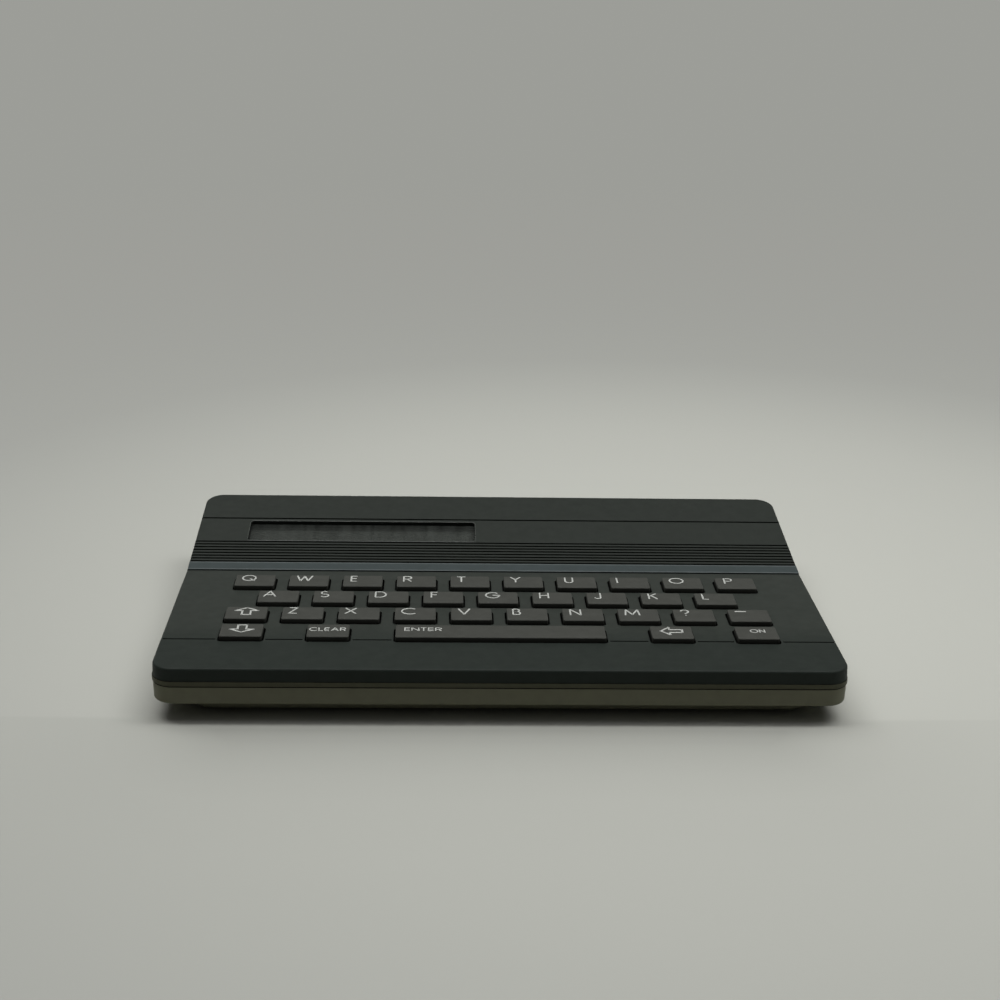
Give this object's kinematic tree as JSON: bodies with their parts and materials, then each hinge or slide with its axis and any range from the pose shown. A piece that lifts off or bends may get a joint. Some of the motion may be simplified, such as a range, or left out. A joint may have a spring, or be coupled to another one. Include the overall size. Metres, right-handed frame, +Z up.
{
  "type": "handheld spell checker",
  "caption": "Flat handheld electronic speller: sloped one-line display, ribbed strip, sprung letter keys and a sliding battery door underneath.",
  "frame": {"origin": "centre of the bounding box's underside, on the table that the feet stand on", "axes": "+X to the user's right along the long side, +Y away from the user, +Z up out of the keys"},
  "size_m": [0.1496, 0.0948, 0.0183],
  "materials": {
    "charcoal_cover": "fine moulded grain",
    "charcoal_keys": "satin moulded, printed legends",
    "blue_grey_band": "satin paint film",
    "clear_window": "clear acrylic",
    "display_glass": "grey reflective display cell",
    "black_moulding": "moulded",
    "amber_ribbon": "film with printed tracks",
    "grey_rubber": "silicone",
    "board_laminate": "solder mask",
    "black_resin": "epoxy",
    "tinned_steel": "tin plated",
    "taupe_rim": "fine moulded grain",
    "taupe_case": "fine moulded grain",
    "cell_jacket": "plain printed sleeve",
    "red_insulation": "soft vinyl",
    "black_insulation": "soft vinyl",
    "zinc_screw": "zinc plated",
    "black_rubber": "soft rubber"
  },
  "bodies": {
    "case": {"top_cover": "charcoal_cover", "stripe_band": "blue_grey_band", "lcd_window": "clear_window", "lcd_glass": "display_glass", "lcd_holder": "black_moulding", "lcd_ribbon": "amber_ribbon", "dome_sheet": "grey_rubber", "main_board": "board_laminate", "processor_blob": "black_resin", "memory_chip": "black_resin", "crystal": "tinned_steel", "capacitor": "black_resin", "rim_frame": "taupe_rim", "bottom_case": "taupe_case", "battery_front": "cell_jacket", "battery_rear": "cell_jacket", "contact_positive": "tinned_steel", "contact_negative": "tinned_steel", "contact_bridge": "tinned_steel", "battery_springs": "tinned_steel", "red_lead": "red_insulation", "black_lead": "black_insulation", "case_screws": "zinc_screw", "board_screws": "zinc_screw", "rubber_feet": "black_rubber"},
    "key_q": {"key_q": "charcoal_keys"},
    "key_w": {"key_w": "charcoal_keys"},
    "key_e": {"key_e": "charcoal_keys"},
    "key_r": {"key_r": "charcoal_keys"},
    "key_t": {"key_t": "charcoal_keys"},
    "key_y": {"key_y": "charcoal_keys"},
    "key_u": {"key_u": "charcoal_keys"},
    "key_i": {"key_i": "charcoal_keys"},
    "key_o": {"key_o": "charcoal_keys"},
    "key_p": {"key_p": "charcoal_keys"},
    "key_a": {"key_a": "charcoal_keys"},
    "key_s": {"key_s": "charcoal_keys"},
    "key_d": {"key_d": "charcoal_keys"},
    "key_f": {"key_f": "charcoal_keys"},
    "key_g": {"key_g": "charcoal_keys"},
    "key_h": {"key_h": "charcoal_keys"},
    "key_j": {"key_j": "charcoal_keys"},
    "key_k": {"key_k": "charcoal_keys"},
    "key_l": {"key_l": "charcoal_keys"},
    "key_up": {"key_up": "charcoal_keys"},
    "key_z": {"key_z": "charcoal_keys"},
    "key_x": {"key_x": "charcoal_keys"},
    "key_c": {"key_c": "charcoal_keys"},
    "key_v": {"key_v": "charcoal_keys"},
    "key_b": {"key_b": "charcoal_keys"},
    "key_n": {"key_n": "charcoal_keys"},
    "key_m": {"key_m": "charcoal_keys"},
    "key_question": {"key_question": "charcoal_keys"},
    "key_dash": {"key_dash": "charcoal_keys"},
    "key_down": {"key_down": "charcoal_keys"},
    "key_clear": {"key_clear": "charcoal_keys"},
    "key_enter": {"key_enter": "charcoal_keys"},
    "key_back": {"key_back": "charcoal_keys"},
    "key_on": {"key_on": "charcoal_keys"},
    "door": {"battery_door": "taupe_case"}
  },
  "joints": [
    {"name": "battery_door_slide", "type": "slide", "parent": "case", "child": "door", "axis": [0, 1, 0], "range_m": [0, 0.024]},
    {"name": "key_q_press", "type": "slide", "parent": "case", "child": "key_q", "axis": [0, 0, -1], "range_m": [0, 0.0009], "stiffness_N_per_m": 400, "springref_m": -0.0005, "deforming": ["dome_sheet"]},
    {"name": "key_w_press", "type": "slide", "parent": "case", "child": "key_w", "axis": [0, 0, -1], "range_m": [0, 0.0009], "stiffness_N_per_m": 400, "springref_m": -0.0005, "deforming": ["dome_sheet"]},
    {"name": "key_e_press", "type": "slide", "parent": "case", "child": "key_e", "axis": [0, 0, -1], "range_m": [0, 0.0009], "stiffness_N_per_m": 400, "springref_m": -0.0005, "deforming": ["dome_sheet"]},
    {"name": "key_r_press", "type": "slide", "parent": "case", "child": "key_r", "axis": [0, 0, -1], "range_m": [0, 0.0009], "stiffness_N_per_m": 400, "springref_m": -0.0005, "deforming": ["dome_sheet"]},
    {"name": "key_t_press", "type": "slide", "parent": "case", "child": "key_t", "axis": [0, 0, -1], "range_m": [0, 0.0009], "stiffness_N_per_m": 400, "springref_m": -0.0005, "deforming": ["dome_sheet"]},
    {"name": "key_y_press", "type": "slide", "parent": "case", "child": "key_y", "axis": [0, 0, -1], "range_m": [0, 0.0009], "stiffness_N_per_m": 400, "springref_m": -0.0005, "deforming": ["dome_sheet"]},
    {"name": "key_u_press", "type": "slide", "parent": "case", "child": "key_u", "axis": [0, 0, -1], "range_m": [0, 0.0009], "stiffness_N_per_m": 400, "springref_m": -0.0005, "deforming": ["dome_sheet"]},
    {"name": "key_i_press", "type": "slide", "parent": "case", "child": "key_i", "axis": [0, 0, -1], "range_m": [0, 0.0009], "stiffness_N_per_m": 400, "springref_m": -0.0005, "deforming": ["dome_sheet"]},
    {"name": "key_o_press", "type": "slide", "parent": "case", "child": "key_o", "axis": [0, 0, -1], "range_m": [0, 0.0009], "stiffness_N_per_m": 400, "springref_m": -0.0005, "deforming": ["dome_sheet"]},
    {"name": "key_p_press", "type": "slide", "parent": "case", "child": "key_p", "axis": [0, 0, -1], "range_m": [0, 0.0009], "stiffness_N_per_m": 400, "springref_m": -0.0005, "deforming": ["dome_sheet"]},
    {"name": "key_a_press", "type": "slide", "parent": "case", "child": "key_a", "axis": [0, 0, -1], "range_m": [0, 0.0009], "stiffness_N_per_m": 400, "springref_m": -0.0005, "deforming": ["dome_sheet"]},
    {"name": "key_s_press", "type": "slide", "parent": "case", "child": "key_s", "axis": [0, 0, -1], "range_m": [0, 0.0009], "stiffness_N_per_m": 400, "springref_m": -0.0005, "deforming": ["dome_sheet"]},
    {"name": "key_d_press", "type": "slide", "parent": "case", "child": "key_d", "axis": [0, 0, -1], "range_m": [0, 0.0009], "stiffness_N_per_m": 400, "springref_m": -0.0005, "deforming": ["dome_sheet"]},
    {"name": "key_f_press", "type": "slide", "parent": "case", "child": "key_f", "axis": [0, 0, -1], "range_m": [0, 0.0009], "stiffness_N_per_m": 400, "springref_m": -0.0005, "deforming": ["dome_sheet"]},
    {"name": "key_g_press", "type": "slide", "parent": "case", "child": "key_g", "axis": [0, 0, -1], "range_m": [0, 0.0009], "stiffness_N_per_m": 400, "springref_m": -0.0005, "deforming": ["dome_sheet"]},
    {"name": "key_h_press", "type": "slide", "parent": "case", "child": "key_h", "axis": [0, 0, -1], "range_m": [0, 0.0009], "stiffness_N_per_m": 400, "springref_m": -0.0005, "deforming": ["dome_sheet"]},
    {"name": "key_j_press", "type": "slide", "parent": "case", "child": "key_j", "axis": [0, 0, -1], "range_m": [0, 0.0009], "stiffness_N_per_m": 400, "springref_m": -0.0005, "deforming": ["dome_sheet"]},
    {"name": "key_k_press", "type": "slide", "parent": "case", "child": "key_k", "axis": [0, 0, -1], "range_m": [0, 0.0009], "stiffness_N_per_m": 400, "springref_m": -0.0005, "deforming": ["dome_sheet"]},
    {"name": "key_l_press", "type": "slide", "parent": "case", "child": "key_l", "axis": [0, 0, -1], "range_m": [0, 0.0009], "stiffness_N_per_m": 400, "springref_m": -0.0005, "deforming": ["dome_sheet"]},
    {"name": "key_up_press", "type": "slide", "parent": "case", "child": "key_up", "axis": [0, 0, -1], "range_m": [0, 0.0009], "stiffness_N_per_m": 400, "springref_m": -0.0005, "deforming": ["dome_sheet"]},
    {"name": "key_z_press", "type": "slide", "parent": "case", "child": "key_z", "axis": [0, 0, -1], "range_m": [0, 0.0009], "stiffness_N_per_m": 400, "springref_m": -0.0005, "deforming": ["dome_sheet"]},
    {"name": "key_x_press", "type": "slide", "parent": "case", "child": "key_x", "axis": [0, 0, -1], "range_m": [0, 0.0009], "stiffness_N_per_m": 400, "springref_m": -0.0005, "deforming": ["dome_sheet"]},
    {"name": "key_c_press", "type": "slide", "parent": "case", "child": "key_c", "axis": [0, 0, -1], "range_m": [0, 0.0009], "stiffness_N_per_m": 400, "springref_m": -0.0005, "deforming": ["dome_sheet"]},
    {"name": "key_v_press", "type": "slide", "parent": "case", "child": "key_v", "axis": [0, 0, -1], "range_m": [0, 0.0009], "stiffness_N_per_m": 400, "springref_m": -0.0005, "deforming": ["dome_sheet"]},
    {"name": "key_b_press", "type": "slide", "parent": "case", "child": "key_b", "axis": [0, 0, -1], "range_m": [0, 0.0009], "stiffness_N_per_m": 400, "springref_m": -0.0005, "deforming": ["dome_sheet"]},
    {"name": "key_n_press", "type": "slide", "parent": "case", "child": "key_n", "axis": [0, 0, -1], "range_m": [0, 0.0009], "stiffness_N_per_m": 400, "springref_m": -0.0005, "deforming": ["dome_sheet"]},
    {"name": "key_m_press", "type": "slide", "parent": "case", "child": "key_m", "axis": [0, 0, -1], "range_m": [0, 0.0009], "stiffness_N_per_m": 400, "springref_m": -0.0005, "deforming": ["dome_sheet"]},
    {"name": "key_question_press", "type": "slide", "parent": "case", "child": "key_question", "axis": [0, 0, -1], "range_m": [0, 0.0009], "stiffness_N_per_m": 400, "springref_m": -0.0005, "deforming": ["dome_sheet"]},
    {"name": "key_dash_press", "type": "slide", "parent": "case", "child": "key_dash", "axis": [0, 0, -1], "range_m": [0, 0.0009], "stiffness_N_per_m": 400, "springref_m": -0.0005, "deforming": ["dome_sheet"]},
    {"name": "key_down_press", "type": "slide", "parent": "case", "child": "key_down", "axis": [0, 0, -1], "range_m": [0, 0.0009], "stiffness_N_per_m": 400, "springref_m": -0.0005, "deforming": ["dome_sheet"]},
    {"name": "key_clear_press", "type": "slide", "parent": "case", "child": "key_clear", "axis": [0, 0, -1], "range_m": [0, 0.0009], "stiffness_N_per_m": 400, "springref_m": -0.0005, "deforming": ["dome_sheet"]},
    {"name": "key_enter_press", "type": "slide", "parent": "case", "child": "key_enter", "axis": [0, 0, -1], "range_m": [0, 0.0009], "stiffness_N_per_m": 400, "springref_m": -0.0005, "deforming": ["dome_sheet"]},
    {"name": "key_back_press", "type": "slide", "parent": "case", "child": "key_back", "axis": [0, 0, -1], "range_m": [0, 0.0009], "stiffness_N_per_m": 400, "springref_m": -0.0005, "deforming": ["dome_sheet"]},
    {"name": "key_on_press", "type": "slide", "parent": "case", "child": "key_on", "axis": [0, 0, -1], "range_m": [0, 0.0009], "stiffness_N_per_m": 400, "springref_m": -0.0005, "deforming": ["dome_sheet"]}
  ]
}
